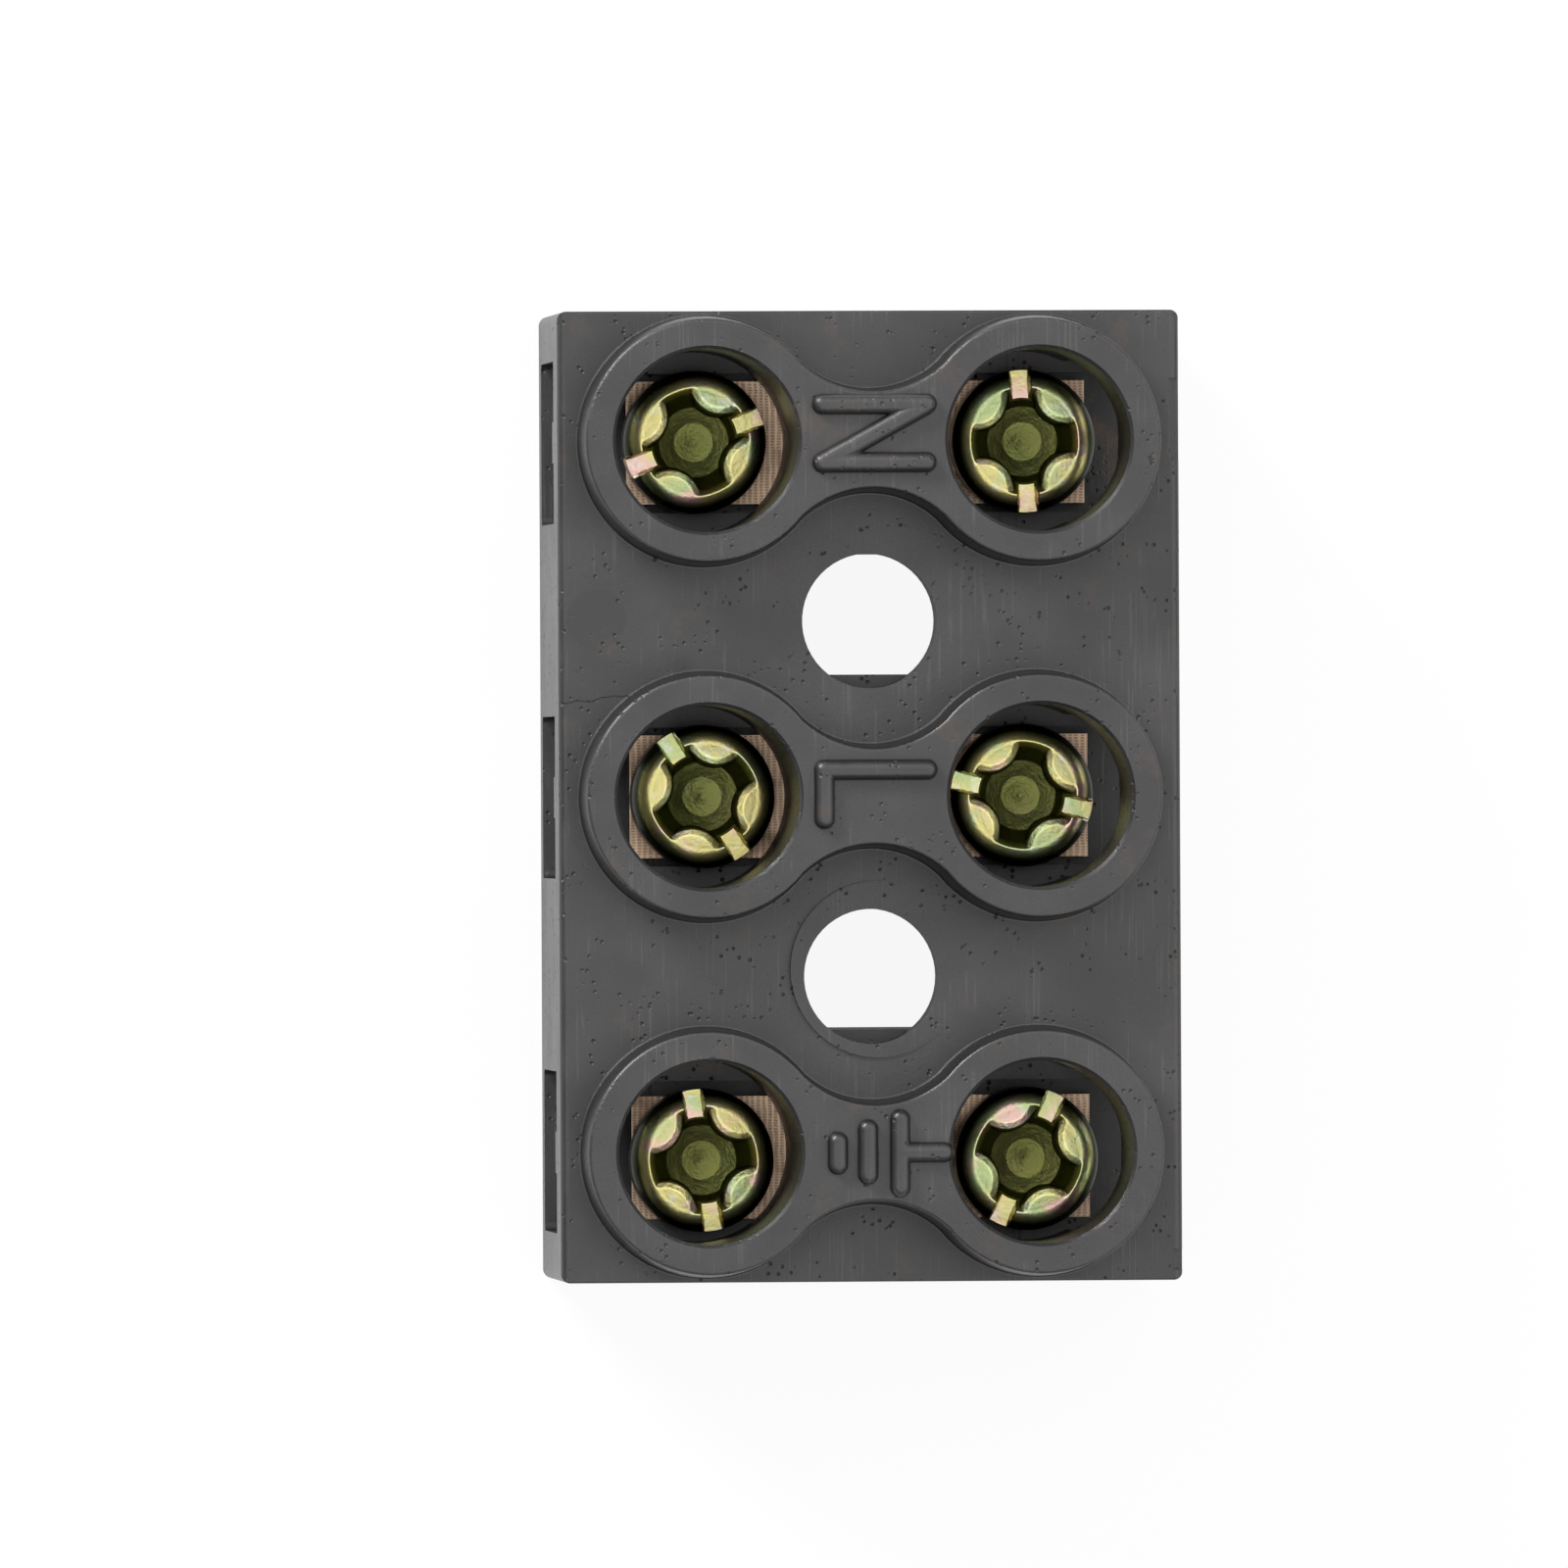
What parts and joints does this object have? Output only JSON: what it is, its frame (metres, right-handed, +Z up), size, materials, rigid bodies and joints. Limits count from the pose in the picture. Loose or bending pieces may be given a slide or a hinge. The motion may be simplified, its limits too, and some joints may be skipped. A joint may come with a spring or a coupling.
{
  "type": "barrier terminal strip",
  "caption": "Phenolic terminal block with ringed screw wells over through bars, side wire mouths and fixing holes between the poles.",
  "frame": {"origin": "centre of the underside", "axes": "+Z up along the screws, +Y along the row of poles, +X along the bars"},
  "size_m": [0.0304, 0.0472, 0.0172],
  "materials": {
    "housing": "moulded black phenolic with a soft sheen",
    "bar": "copper-coloured strip, cross-hatched by rolling",
    "screw": "yellow passivated zinc plate with a green and pink lustre"
  },
  "bodies": {
    "strip": {"housing": "housing", "bus_bar_neutral": "bar", "bus_bar_line": "bar", "bus_bar_earth": "bar"},
    "neutral_left_screw": {"screw_neutral_left": "screw"},
    "neutral_right_screw": {"screw_neutral_right": "screw"},
    "line_left_screw": {"screw_line_left": "screw"},
    "line_right_screw": {"screw_line_right": "screw"},
    "earth_left_screw": {"screw_earth_left": "screw"},
    "earth_right_screw": {"screw_earth_right": "screw"}
  },
  "joints": [
    {"name": "neutral_left_lift", "type": "slide", "parent": "strip", "child": "neutral_left_screw", "axis": [0, 0, 1], "range_m": [0, 0.0028]},
    {"name": "neutral_right_lift", "type": "slide", "parent": "strip", "child": "neutral_right_screw", "axis": [0, 0, 1], "range_m": [0, 0.0028]},
    {"name": "line_left_lift", "type": "slide", "parent": "strip", "child": "line_left_screw", "axis": [0, 0, 1], "range_m": [0, 0.0028]},
    {"name": "line_right_lift", "type": "slide", "parent": "strip", "child": "line_right_screw", "axis": [0, 0, 1], "range_m": [0, 0.0028]},
    {"name": "earth_left_lift", "type": "slide", "parent": "strip", "child": "earth_left_screw", "axis": [0, 0, 1], "range_m": [0, 0.0028]},
    {"name": "earth_right_lift", "type": "slide", "parent": "strip", "child": "earth_right_screw", "axis": [0, 0, 1], "range_m": [0, 0.0028]}
  ]
}
